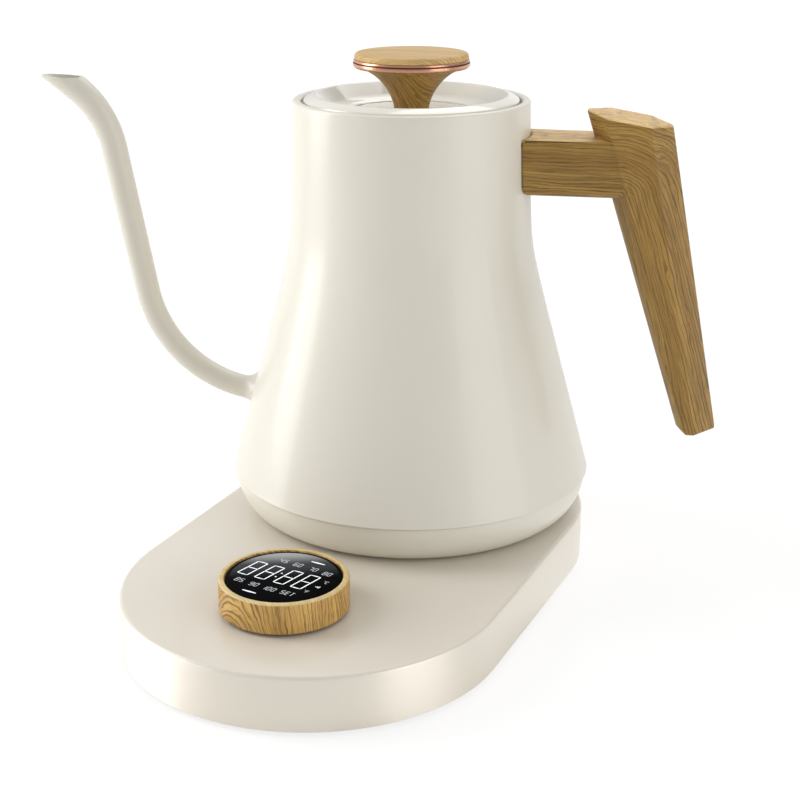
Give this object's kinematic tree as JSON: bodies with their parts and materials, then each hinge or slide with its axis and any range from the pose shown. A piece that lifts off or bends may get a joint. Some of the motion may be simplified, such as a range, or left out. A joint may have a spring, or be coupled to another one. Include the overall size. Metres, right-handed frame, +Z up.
{
  "type": "electric gooseneck kettle",
  "caption": "Electric gooseneck kettle with a conical lacquered body, wooden handle and lid knob, lifting off a stadium-shaped cordless base with a turning, pressing display dial.",
  "frame": {"origin": "the kettle's swivel axis where it meets the table, on the plane of the rubber feet", "axes": "+Z up along the swivel axis; +Y to the back of the base, where the cord enters; the dial lies towards -Y; at rest the handle points 14 degrees from +X towards +Y and the spout points the other way"},
  "size_m": [0.274, 0.2408, 0.2128],
  "materials": {
    "cream_lacquer": "satin gloss cream lacquer on steel",
    "cream_plastic": "satin cream moulding",
    "base_lacquer": "pearl cream lacquer",
    "wood": "oiled oak",
    "copper": "polished rose copper",
    "black_lens": "black tinted glass",
    "dark_plastic": "fine texture",
    "rubber": "matte",
    "silicone": "matte translucent white",
    "stainless": "brushed",
    "element_steel": "heat-darkened sheath",
    "zinc_steel": "zinc plated",
    "aluminium": "plain",
    "contact_brass": "plain",
    "circuit_board": "solder mask",
    "component_case": "moulded case"
  },
  "bodies": {
    "base": {"base_cover": "base_lacquer", "base_bottom": "dark_plastic", "base_feet": "rubber", "base_screws": "zinc_steel", "base_connector": "dark_plastic", "base_contacts": "contact_brass", "power_board": "circuit_board", "power_relay": "component_case", "power_transformer": "component_case", "power_capacitor": "component_case", "power_terminals": "component_case", "control_board": "circuit_board", "press_switch": "component_case", "dial_guide": "dark_plastic", "inlet_bush": "dark_plastic"},
    "dial_core": {"dial_carrier": "dark_plastic", "dial_display": "circuit_board", "dial_lens": "black_lens"},
    "dial_rim": {"dial_ring": "wood"},
    "socket": {"kettle_socket": "dark_plastic", "kettle_contacts": "contact_brass"},
    "kettle": {"kettle_shell": "cream_lacquer", "vessel_floor": "stainless", "heat_spreader": "aluminium", "heating_element": "element_steel", "element_terminals": "contact_brass", "dry_boil_cutout": "component_case", "temperature_probe": "stainless", "probe_seal": "silicone", "bottom_cover": "cream_plastic", "bottom_screws": "zinc_steel", "spout_tube": "cream_lacquer", "handle_bracket": "stainless", "handle": "wood", "handle_screw": "zinc_steel"},
    "lid": {"lid_cover": "cream_lacquer", "lid_liner": "stainless", "lid_gasket": "silicone", "knob_stem": "wood", "knob_ring": "copper", "knob_cap": "wood", "knob_screw": "zinc_steel"}
  },
  "joints": [
    {"name": "dial_press", "type": "slide", "parent": "base", "child": "dial_core", "axis": [0, 0, -1], "range_m": [0, 0.0006], "stiffness_N_per_m": 2500, "springref_m": -0.001},
    {"name": "dial_turn", "type": "hinge", "parent": "dial_core", "child": "dial_rim", "pos_m": [0, -0.1157, 0.03], "axis": [0, 0, 1], "continuous": true},
    {"name": "kettle_lift", "type": "slide", "parent": "base", "child": "socket", "axis": [0, 0, 1], "range_m": [0, 0.12]},
    {"name": "kettle_swivel", "type": "hinge", "parent": "socket", "child": "kettle", "pos_m": [0, 0, 0.03], "axis": [0, 0, 1], "continuous": true},
    {"name": "lid_lift", "type": "slide", "parent": "kettle", "child": "lid", "axis": [0, 0, 1], "range_m": [0, 0.06]}
  ]
}
